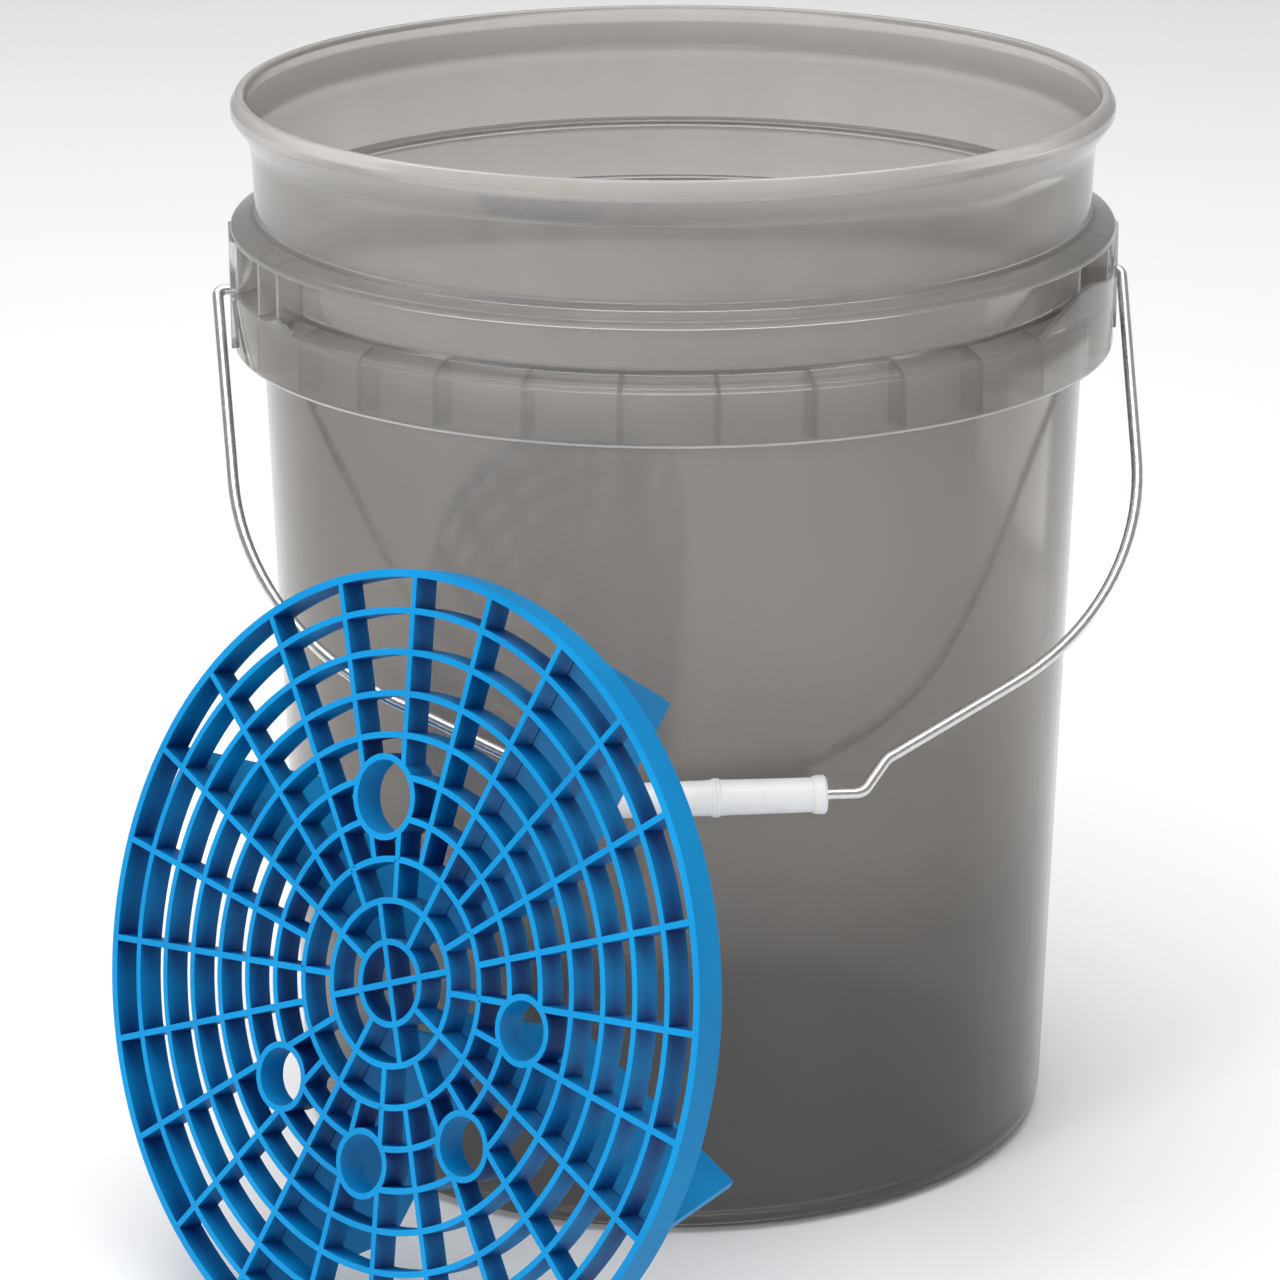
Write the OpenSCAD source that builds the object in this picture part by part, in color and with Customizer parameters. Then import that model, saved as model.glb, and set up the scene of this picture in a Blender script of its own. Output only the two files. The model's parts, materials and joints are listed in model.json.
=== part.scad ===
// Wash bucket: a round plastic pail with a wire bail and roller grip, and a round grit guard
// standing in front of it. Origin: centre of the pail's foot, on the floor. +Z is up.
// The bail's ears lie on the X axis, and the bail hangs down at the front, on the -Y side.

/* [Pail] */
// Overall height
pail_h = 368; // [366:1:370]
// Outer radius at the foot
foot_r = 132.4; // [132:0.1:133]
// Outer radius at the skirt's lower edge
waist_r = 141.4; // [141:0.1:142]
// Outer radius under the rim
neck_r = 144.4; // [144:0.1:145]
// Outer radius of the rim bead
rim_r = 151; // [150.5:0.1:151.5]
// Wall thickness
wall_t = 2.3; // [2:0.1:2.5]
// Height of the floor's underside above the foot
floor_z = 3; // [2.5:0.1:3.5]
// Thickness of the floor
floor_t = 2.5; // [2.2:0.1:3]

/* [Collar] */
// Outer radius of the upper flange and of the skirt
collar_r = 152; // [151.8:0.1:152.2]
// Height of the upper flange's outer top edge
flange_z = 323.1; // [323:0.1:324]
// Height of the ledge's outer top edge
ledge_z = 301.5; // [301:0.1:302]
// Height of the skirt's lower edge
skirt_z = 281.7; // [281:0.1:283]
// Thickness of the skirt and of its ribs
skirt_t = 2; // [1.6:0.1:2.2]
// Number of stiffening ribs behind the skirt
rib_count = 30; // [30]

/* [Ears] */
// Height of the bail's hinge line
ear_z = 300; // [299.5:0.1:300.5]
// Outer face of the ear plate, from the centre
ear_x = 152.7; // [152.6:0.05:152.8]
// Thickness of the ear plate
ear_t = 2.6; // [2.5:0.05:2.6]
// Half the width of the ear plate
ear_half_w = 16; // [15:0.5:17]
// Greatest height of the raised skirt beside the ear
boss_z = 312.5; // [311:0.5:314]

/* [Bail] */
// Diameter of the wire
wire_d = 3.8; // [3.6:0.1:3.8]
// Distance from the hinge line to the grip's axis
bail_len = 200.5; // [200.2:0.1:201]
// Angle between the hanging bail and straight down
bail_rest = 46.2; // [46.2:0.1:46.6]
// Half the spread of the bail at the ears
bail_half_w = 157; // [156.9:0.1:157.3]
// Radial clearance of the wire in the ears and in the grip
wire_clear = 0.08; // [0.05:0.01:0.1]

/* [Grip] */
// Length of the roller grip
grip_len = 73; // [70:1:76]
// Radius of the grip's barrel
grip_r = 5.85; // [5.6:0.05:6]
// Radius of the grip's end flanges and middle bead
grip_flange_r = 6.5; // [6.3:0.05:6.5]

/* [Grit guard] */
// Outer radius of the guard
guard_r = 130; // [129:0.5:130]
// Spacing of the guard's rings
ring_pitch = 13; // [13]
// Thickness of the rings, spokes and collars
guard_rib_t = 2; // [1.8:0.1:2.4]
// Depth of the rings and spokes
guard_depth = 9; // [8:0.5:9]
// Depth of the outer rim and of the hole collars
guard_rim_depth = 10; // [9.5:0.5:11]
// Whole height of the guard, from its face to the ends of its vanes
guard_h = 62; // [60:1:63]
// Outer radius of the thumb hole's collar
thumb_r = 13.7; // [13.5:0.1:14]
// Outer radius of each finger hole's collar
finger_r = 11.3; // [11:0.1:11.6]

/* [Grit guard placing] */
// Place of the centre of the guard's face along X
guard_x = -110; // [-112:1:-108]
// Place of the centre of the guard's face along Y
guard_y = -215.5; // [-222:0.5:-215.5]
// Turn of the guard's face about the vertical
guard_turn = -49; // [-49.5:0.1:-48.8]
// Lean of the guard's face back from upright
guard_lean = 14; // [13.5:0.1:14.5]
// Turn of the guard about its own axis
guard_spin = -2; // [-2.5:0.1:-1.5]

/* [Hidden] */
$fn = 96;
arc_steps = 6;
smoke = [0.55, 0.53, 0.52, 0.6];
smoke_dark = [0.48, 0.46, 0.45, 0.7];
guard_blue = [0.09, 0.5, 0.78];
wire_r = wire_d / 2;
wire_bore_r = wire_r + wire_clear;
bend_lap = 0.15;
bend_swell = 0.02;
base_z = 12;
lip_z = 350;
foot_corner_r = 8;
inner_corner_r = 5;
heel_r = 116;
floor_top = floor_z + floor_t;
flange_t = 2.8;
ledge_t = 2.5;
flange_rise = 4;
flange_swell = 0.4;
flange_root_z = flange_z + flange_rise;
flange_under_z = flange_root_z - flange_t - flange_swell;
ledge_rise = 3.6;
ledge_root_z = ledge_z + ledge_rise;
ledge_under_z = ledge_root_z - ledge_t;
rib_foot = 1.5;
bead_z = 361.5;
bead_h = 4.1;
rim_t = 5;
flare_r = 5.3;
rib_angle = 0.7;
pocket_rib_angles = [-32.5, -19.5, 18.7, 24.7];
boss_foot_z = ledge_z - 2;
// Upper edge of the raised skirt, as [distance sideways from the ear, height]
boss_edge = [
  [-105, boss_foot_z], [-99, boss_z - 7.5], [-82, boss_z], [-72, boss_z], [-48, boss_z - 4],
  [16, ledge_z + 1], [56, ledge_z + 1.5], [64, ledge_z + 4.2], [77, boss_foot_z]
];
thumb_at = [58.5, 107.5];
finger_at = [[58.5, 2.5], [58.5, -42.5], [58.5, -87.5], [58.5, -132.5]];
vane_angles = [70, 160, -20, -110];
vane_t = 2.4;
vane_tip_r = 107.7;
vane_root_r = 16;
vane_heel_r = 30;
vane_set_in = 0.2;
guard_rim_t = 2.5;
rim_inner_r = guard_r - guard_rim_t;
guard_z = guard_r * cos(guard_lean) + guard_rim_depth * sin(guard_lean);

// Points along an arc about [x, z], from angle a0 to a1
function arc(x, z, r, a0, a1) = [
  for (i = [0 : arc_steps]) let (a = a0 + (a1 - a0) * i / arc_steps) [x + r * cos(a), z + r * sin(a)]
];

// Outer and inner radius of the pail's wall at height z
function wall_out(z) = z < skirt_z
  ? foot_r + (waist_r - foot_r) * z / skirt_z
  : waist_r + (neck_r - waist_r) * (z - skirt_z) / (lip_z - skirt_z);
function wall_in(z) = wall_out(z) - wall_t;

// Height of the ledge's top and of the flange's underside at radius r, both sloping outwards
function ledge_top(r) =
  ledge_z + (ledge_root_z - ledge_z) * (collar_r - r) / (collar_r - wall_out(ledge_root_z));
function flange_under(r) =
  let (low = flange_z - flange_t)
  low + (flange_under_z - low) * (collar_r - r) / (collar_r - wall_out(flange_under_z));

// Outline of a rib between the ledge and the flange, out to radius r
function pocket_outline(r) = [
  [wall_out(ledge_root_z), ledge_root_z], [r, ledge_top(r)],
  [r, flange_under(r)], [wall_out(flange_under_z), flange_under_z]
];

// A ring from an outline of [radius, height] points
module ring(outline) {
  rotate_extrude() polygon(outline);
}

// Everything inside the wall's outer face, used to trim what meets the wall
module wall_core() {
  ring([[0, base_z], [wall_out(base_z), base_z], [waist_r, skirt_z], [neck_r, lip_z], [0, lip_z]]);
}

// Turns its children to one ear: side 1 is +X, side -1 is -X
module at_ear(side) {
  rotate([0, 0, side > 0 ? 0 : 180]) children();
}

// A block that covers the ear's width, used to open the ledge and skirt behind the ear plate
module ear_gap(side) {
  depth = 40;
  height = 30;
  at_ear(side)
    translate([waist_r - depth / 2, -ear_half_w, skirt_z - 1])
      cube([depth, 2 * ear_half_w, height]);
}

module pail_floor() {
  color(smoke)
    translate([0, 0, floor_z]) cylinder(h = floor_t, r = heel_r);
}

module base_ring() {
  corner_x = wall_out(foot_corner_r) - foot_corner_r;
  inner_z = floor_top + inner_corner_r;
  outline = concat(
    [[heel_r, 0]],
    arc(corner_x, foot_corner_r, foot_corner_r, -90, 0),
    [[wall_out(base_z), base_z], [wall_in(base_z), base_z]],
    arc(wall_in(inner_z) - inner_corner_r, inner_z, inner_corner_r, 0, -90),
    [[heel_r, floor_top]]
  );
  color(smoke_dark) ring(outline);
}

module pail_wall() {
  color(smoke)
    ring([
      [wall_out(base_z), base_z], [waist_r, skirt_z], [neck_r, lip_z],
      [wall_in(lip_z), lip_z], [waist_r - wall_t, skirt_z], [wall_in(base_z), base_z]
    ]);
}

// The rim: a wall that flares out from the neck to an upright bead with a rounded crown
module rim_lip() {
  flare_x = neck_r + 0.3;
  flare_z = bead_z - 1;
  flare_from = -60;
  flare_to = -20;
  flare_foot = [flare_x, lip_z + 4];
  crown_r = pail_h - bead_z - bead_h;
  edge_r = 1.2;
  inner_x = rim_r - rim_t;
  inner_top = [inner_x - 1.2, bead_z + 0.5];
  inner_foot = [wall_in(lip_z) + 0.8, lip_z + 6];
  outline = concat(
    [[neck_r, lip_z], flare_foot],
    arc(flare_x, flare_z, flare_r, flare_from, flare_to),
    [[rim_r, bead_z]],
    arc(rim_r - crown_r, pail_h - crown_r, crown_r, 0, 90),
    arc(inner_x + edge_r, pail_h - edge_r, edge_r, 90, 180),
    [inner_top, inner_foot, [wall_in(lip_z), lip_z]]
  );
  color(smoke) ring(outline);
}

module upper_flange() {
  color(smoke_dark)
    ring([
      [wall_out(flange_root_z), flange_root_z], [collar_r, flange_z],
      [collar_r, flange_z - flange_t], [wall_out(flange_under_z), flange_under_z]
    ]);
}

module lower_ledge() {
  color(smoke_dark)
    difference() {
      ring([
        [wall_out(ledge_root_z), ledge_root_z], [collar_r, ledge_z], [collar_r, ledge_z - ledge_t],
        [collar_r - skirt_t, ledge_z - ledge_t], [wall_out(ledge_under_z), ledge_under_z]
      ]);
      ear_gap(1);
      ear_gap(-1);
    }
}

module skirt_band() {
  color(smoke)
    difference() {
      ring([
        [collar_r - skirt_t, skirt_z], [collar_r, skirt_z],
        [collar_r, ledge_z - ledge_t], [collar_r - skirt_t, ledge_z - ledge_t]
      ]);
      ear_gap(1);
      ear_gap(-1);
    }
}

// A radial rib of the given outline at an angle from +X
module radial_rib(angle, outline) {
  rotate([0, 0, angle - rib_angle / 2]) rotate_extrude(angle = rib_angle) polygon(outline);
}

module skirt_ribs() {
  step = 360 / rib_count;
  low = skirt_z + rib_foot;
  outline = [
    [wall_out(low), low], [collar_r - skirt_t, low],
    [collar_r - skirt_t, ledge_z - ledge_t], [wall_out(ledge_under_z), ledge_under_z]
  ];
  color(smoke_dark)
    for (i = [0 : rib_count - 1]) {
      angle = (i + 0.5) * step;
      if (abs(sin(angle)) > sin(step)) radial_rib(angle, outline);
    }
}

// The ear: a flat plate with the bail's hole, and two webs that join it to the wall. All three
// reach up to the flange's underside.
module ear(side) {
  web_t = 2.2;
  low = skirt_z + rib_foot;
  height = flange_z - low;
  inside = waist_r - 3;
  trim_in = waist_r - 1;
  trim_out = ear_x + 3;
  trim_top = flange_z + 5;
  color(smoke_dark)
    at_ear(side)
      difference() {
        union() {
          translate([ear_x - ear_t, -ear_half_w, low]) cube([ear_t, 2 * ear_half_w, height]);
          for (y = [-ear_half_w, ear_half_w - web_t])
            translate([inside, y, low]) cube([ear_x - inside, web_t, height]);
        }
        wall_core();
        ring([
          [trim_in, trim_top], [trim_out, trim_top], [trim_out, flange_z - flange_t],
          [collar_r, flange_z - flange_t], [wall_out(flange_under_z), flange_under_z],
          [trim_in, flange_under_z]
        ]);
        translate([ear_x - ear_t - 1, 0, ear_z])
          rotate([0, 90, 0]) cylinder(h = ear_t + 2, r = wire_bore_r);
      }
}

// The raised skirt on both sides of the ear, with its pocket ribs. It runs further on one
// side than on the other, and the two ears are half a turn apart.
module ear_boss(side) {
  inner_r = collar_r - skirt_t;
  rib_r = collar_r - 0.3;
  over = 5;
  color(smoke_dark)
    at_ear(side)
      difference() {
        union() {
          intersection() {
            ring([
              [inner_r, ledge_top(inner_r)], [collar_r, ledge_z],
              [collar_r, boss_z + 1], [inner_r, boss_z + 1]
            ]);
            rotate([90, 0, 90]) linear_extrude(height = collar_r + 1) polygon(boss_edge);
          }
          for (a = pocket_rib_angles) radial_rib(a, pocket_outline(rib_r));
        }
        translate([0, -ear_half_w, ledge_z - over])
          cube([collar_r + over, 2 * ear_half_w, boss_z - ledge_z + 2 * over]);
      }
}

function unit(v) = v / norm(v);
function cross2(a, b) = a[0] * b[1] - a[1] * b[0];
function turn_at(p, i) =
  let (a = unit(p[i] - p[i - 1]), b = unit(p[i + 1] - p[i])) atan2(cross2(a, b), a * b);

// Length that the bend at corner i takes from each straight beside it
function bend_leg(p, r, i) = i == 0 || i == len(p) - 1 ? 0 : r[i] * tan(abs(turn_at(p, i)) / 2);

// A flat wire along the corners p, each corner rounded to its radius in r. This draws straight
// number i along +X from the origin, then the bend at its end, then the rest of the wire.
// The bends are a hair thicker than the straights, which run a little way into them.
module bent_wire(p, r, i = 0) {
  last = len(p) - 2;
  run = norm(p[i + 1] - p[i]) - bend_leg(p, r, i) - bend_leg(p, r, i + 1);
  start = i > 0 ? -bend_lap : 0;
  end = i < last ? run + bend_lap : run;
  translate([start, 0, 0]) rotate([0, 90, 0]) cylinder(h = end - start, r = wire_r);
  if (i < last) {
    t = turn_at(p, i + 1);
    bend_r = r[i + 1];
    translate([run, sign(t) * bend_r, 0]) {
      rotate([0, 0, t > 0 ? -90 : 90 + t])
        rotate_extrude(angle = abs(t)) translate([bend_r, 0]) circle(r = wire_r + bend_swell);
      rotate([0, 0, t]) translate([0, -sign(t) * bend_r, 0]) bent_wire(p, r, i + 1);
    }
  }
}

// The bail's own plane: X along the hinge line, Y from the hinge line towards the grip
module bail_frame() {
  translate([0, 0, ear_z]) rotate([180 + 90 - bail_rest, 0, 0]) mirror([0, 0, 1]) children();
}

// Half of the wire, from the middle of the grip: the straight in the grip, the crank beside it,
// the long leg with its shoulder, and the hook through the ear
module bail_wire() {
  hand = [48.5, bail_len];
  crank = [57.4, bail_len - 12.1];
  shoulder = [151.2, bail_len - 67.8];
  hook = [147.5, 0];
  hook_end = [145, -8.5];
  hand_r = 5;
  crank_r = 6;
  shoulder_r = 105;
  eye_r = 2.6;
  hook_r = 3.4;
  corners = [[0, bail_len], hand, crank, shoulder, [bail_half_w, 0], hook, hook_end];
  radii = [0, hand_r, crank_r, shoulder_r, eye_r, hook_r, 0];
  color("silver")
    bail_frame()
      translate([0, bail_len, 0]) {
        bent_wire(corners, radii);
        mirror([1, 0, 0]) bent_wire(corners, radii);
      }
}

module grip() {
  half = grip_len / 2;
  bead = grip_flange_r - grip_r;
  collar = 3.6;
  collar_slack = 0.25;
  chamfer = 0.9;
  side = [
    [wire_bore_r, 0], [grip_flange_r, 0], [grip_flange_r, bead], [grip_r, 2 * bead],
    [grip_r, half - collar - bead], [grip_flange_r - collar_slack, half - collar],
    [grip_flange_r, half - chamfer], [grip_flange_r - chamfer, half], [wire_bore_r, half]
  ];
  color("white")
    bail_frame()
      translate([0, bail_len, 0])
        rotate([0, 90, 0]) {
          rotate_extrude() polygon(side);
          mirror([0, 0, 1]) rotate_extrude() polygon(side);
        }
}

// The guard's own frame: its face in the XY plane, looking along +Z
module guard_frame() {
  translate([guard_x, guard_y, guard_z])
    rotate([90 - guard_lean, 0, guard_turn]) rotate([0, 0, guard_spin]) children();
}

// Places its children at [radius, angle] on the guard's face
module on_guard(at) {
  rotate([0, 0, at[1]]) translate([at[0], 0, 0]) children();
}

// A hoop whose face is flush with the guard's face
module hoop(outer, inner, depth) {
  translate([0, 0, -depth])
    difference() {
      cylinder(h = depth, r = outer);
      translate([0, 0, -1]) cylinder(h = depth + 2, r = inner);
    }
}

module guard_rim() {
  color(guard_blue) guard_frame() hoop(guard_r, rim_inner_r, guard_rim_depth);
}

// Radial bars between two radii
module spokes(inner, outer, first, count) {
  for (i = [0 : count - 1])
    rotate([0, 0, first + i * 360 / count])
      translate([inner, -guard_rib_t / 2]) square([outer - inner, guard_rib_t]);
}

module guard_grille() {
  hub_turn = 25;
  field_turn = 10;
  color(guard_blue)
    guard_frame()
      translate([0, 0, -guard_depth])
        linear_extrude(height = guard_depth)
          difference() {
            intersection() {
              union() {
                for (k = [1 : 9])
                  difference() {
                    circle(r = k * ring_pitch + guard_rib_t / 2);
                    circle(r = k * ring_pitch - guard_rib_t / 2);
                  }
                spokes(0, ring_pitch, hub_turn, 4);
                spokes(ring_pitch, 2 * ring_pitch, hub_turn, 8);
                spokes(2 * ring_pitch, 3 * ring_pitch, field_turn, 12);
                spokes(3 * ring_pitch, guard_r, field_turn, 24);
              }
              circle(r = rim_inner_r);
            }
            on_guard(thumb_at) circle(r = thumb_r);
            for (at = finger_at) on_guard(at) circle(r = finger_r);
          }
}

module thumb_collar() {
  color(guard_blue)
    guard_frame() on_guard(thumb_at) hoop(thumb_r, thumb_r - guard_rib_t, guard_rim_depth);
}

module finger_collar(i) {
  color(guard_blue)
    guard_frame() on_guard(finger_at[i]) hoop(finger_r, finger_r - guard_rib_t, guard_rim_depth);
}

// One of the four vanes behind the face, which hold the guard off the pail's floor in use
module guard_vane(i) {
  color(guard_blue)
    guard_frame()
      rotate([0, 0, vane_angles[i]])
        translate([0, vane_t / 2, 0])
          rotate([90, 0, 0])
            linear_extrude(height = vane_t)
              polygon([
                [vane_root_r, -guard_depth], [rim_inner_r - vane_set_in, -guard_depth],
                [vane_tip_r, -guard_h], [vane_heel_r, -guard_h]
              ]);
}

pail_floor();
base_ring();
pail_wall();
rim_lip();
upper_flange();
lower_ledge();
skirt_band();
skirt_ribs();
ear(-1);  // ear_left
ear(1);  // ear_right
ear_boss(-1);  // ear_boss_left
ear_boss(1);  // ear_boss_right
bail_wire();
grip();
guard_rim();
guard_grille();
thumb_collar();
finger_collar(0);  // finger_collar_1
finger_collar(1);  // finger_collar_2
finger_collar(2);  // finger_collar_3
finger_collar(3);  // finger_collar_4
guard_vane(0);  // guard_vane_1
guard_vane(1);  // guard_vane_2
guard_vane(2);  // guard_vane_3
guard_vane(3);  // guard_vane_4
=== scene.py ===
import json
import math

import bmesh
import bpy
from mathutils import Matrix, Vector


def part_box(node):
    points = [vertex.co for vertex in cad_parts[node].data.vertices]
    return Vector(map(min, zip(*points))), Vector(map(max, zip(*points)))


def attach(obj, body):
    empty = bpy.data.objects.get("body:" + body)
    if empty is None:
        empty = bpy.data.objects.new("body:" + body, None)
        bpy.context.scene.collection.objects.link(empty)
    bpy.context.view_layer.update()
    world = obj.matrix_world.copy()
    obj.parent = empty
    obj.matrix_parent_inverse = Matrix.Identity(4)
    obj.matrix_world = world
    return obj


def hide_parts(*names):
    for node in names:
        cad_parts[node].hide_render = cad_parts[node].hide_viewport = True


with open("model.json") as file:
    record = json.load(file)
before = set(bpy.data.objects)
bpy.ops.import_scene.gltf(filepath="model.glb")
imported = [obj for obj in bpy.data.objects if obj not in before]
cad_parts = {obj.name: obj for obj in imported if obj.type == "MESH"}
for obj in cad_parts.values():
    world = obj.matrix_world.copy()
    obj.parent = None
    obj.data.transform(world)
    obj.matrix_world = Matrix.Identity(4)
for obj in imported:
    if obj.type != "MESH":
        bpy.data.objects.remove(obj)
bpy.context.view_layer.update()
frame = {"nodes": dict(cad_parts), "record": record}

# All lengths are in metres, in the CAD model's frame: +Z up, the bail's hinge line along X,
# the bail hanging at the front on the -Y side.
MM = 0.001
scene = bpy.context.scene
scene.view_settings.view_transform = "Standard"


# ---------------------------------------------------------------- camera

VIEW_TURN = math.radians(5.5)      # the camera stands this far round to the left ear's side
VIEW_PITCH = math.radians(17.886)  # and looks down this much
CAMERA_AWAY = 1.6765               # from the pail's axis, along the floor
CAMERA_HEIGHT = 0.710
LENS = 140.0
SIDE_SHIFT = -0.0258               # the pail stands a little right of the picture's middle

camera_data = bpy.data.cameras.new("camera")
camera_data.sensor_width = 36.0
camera_data.lens = LENS
camera_data.shift_x = SIDE_SHIFT
camera_data.clip_end = 20.0
camera = bpy.data.objects.new("camera", camera_data)
camera.location = (
    -CAMERA_AWAY * math.sin(VIEW_TURN),
    -CAMERA_AWAY * math.cos(VIEW_TURN),
    CAMERA_HEIGHT,
)
camera.rotation_euler = (math.pi / 2 - VIEW_PITCH, 0, -VIEW_TURN)
scene.collection.objects.link(camera)
scene.camera = camera


# ---------------------------------------------------------------- node helpers

def new_material(name):
    """A material with an empty tree but for its Principled shader and output."""
    material = bpy.data.materials.new(name)
    material.use_nodes = True
    tree = material.node_tree
    tree.nodes.clear()
    output = tree.nodes.new("ShaderNodeOutputMaterial")
    shader = tree.nodes.new("ShaderNodeBsdfPrincipled")
    tree.links.new(shader.outputs["BSDF"], output.inputs["Surface"])
    return material, tree, shader


def object_coords(tree, scale=(1, 1, 1)):
    """Object coordinates in metres, stretched by scale."""
    coords = tree.nodes.new("ShaderNodeTexCoord")
    mapping = tree.nodes.new("ShaderNodeMapping")
    mapping.inputs["Scale"].default_value = scale
    tree.links.new(coords.outputs["Object"], mapping.inputs["Vector"])
    return mapping.outputs["Vector"]


def noise_field(tree, vector, scale, detail):
    """Smooth noise over a vector, from 0 to 1."""
    node = tree.nodes.new("ShaderNodeTexNoise")
    node.inputs["Scale"].default_value = scale
    node.inputs["Detail"].default_value = detail
    tree.links.new(vector, node.inputs["Vector"])
    return node.outputs["Fac"]


def spread(tree, value, low, high, from_low=0.3, from_high=0.7):
    """value, taken from its usual range to low..high."""
    node = tree.nodes.new("ShaderNodeMapRange")
    node.inputs["From Min"].default_value = from_low
    node.inputs["From Max"].default_value = from_high
    node.inputs["To Min"].default_value = low
    node.inputs["To Max"].default_value = high
    tree.links.new(value, node.inputs["Value"])
    return node.outputs["Result"]


def colour_ramp(tree, value, stops):
    """A value turned into a colour by stops of (position, colour)."""
    node = tree.nodes.new("ShaderNodeValToRGB")
    ramp = node.color_ramp
    while len(ramp.elements) < len(stops):
        ramp.elements.new(1.0)
    for element, (position, colour) in zip(ramp.elements, stops):
        element.position = position
        element.color = (*colour, 1.0)
    tree.links.new(value, node.inputs["Fac"])
    return node.outputs["Color"]


def mixed(tree, a, b, blend, factor=1.0):
    """Colour a blended with colour b. The factor is a number or another node's output."""
    node = tree.nodes.new("ShaderNodeMix")
    node.data_type = "RGBA"
    node.blend_type = blend
    if isinstance(factor, float):
        node.inputs["Factor"].default_value = factor
    else:
        tree.links.new(factor, node.inputs["Factor"])
    for colour, socket in ((a, node.inputs["A"]), (b, node.inputs["B"])):
        if isinstance(colour, tuple):
            socket.default_value = (*colour, 1.0)
        else:
            tree.links.new(colour, socket)
    return node.outputs["Result"]


def calculated(tree, operation, *values):
    """A Math node's result from numbers or other nodes' outputs."""
    node = tree.nodes.new("ShaderNodeMath")
    node.operation = operation
    for value, socket in zip(values, node.inputs):
        if isinstance(value, (int, float)):
            socket.default_value = value
        else:
            tree.links.new(value, socket)
    return node.outputs["Value"]


def bump(tree, shader, height, distance, strength, normal=None):
    """Feeds a bump to the shader, on top of another bump's normal where one is given."""
    node = tree.nodes.new("ShaderNodeBump")
    node.inputs["Distance"].default_value = distance
    node.inputs["Strength"].default_value = strength
    tree.links.new(height, node.inputs["Height"])
    if normal:
        tree.links.new(normal, node.inputs["Normal"])
    tree.links.new(node.outputs["Normal"], shader.inputs["Normal"])
    return node.outputs["Normal"]


# ---------------------------------------------------------------- materials

# A painted highlight along the skirt's lower edge: a pale, less clear line this high, this far out
# and this wide
SKIRT_EDGE_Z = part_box("skirt_band")[0].z + 0.4 * MM
SKIRT_EDGE_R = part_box("skirt_band")[1].x - 2.5 * MM
SKIRT_EDGE_REACH = 0.45 * MM
SKIRT_HIGHLIGHT_COLOUR = (0.82, 0.80, 0.78)
SKIRT_HIGHLIGHT_CLEAR_LOSS = 0.30


SMOKE_RAMP_TOP = 0.4   # metres: heights in the smoke's ramps are shares of this


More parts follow.
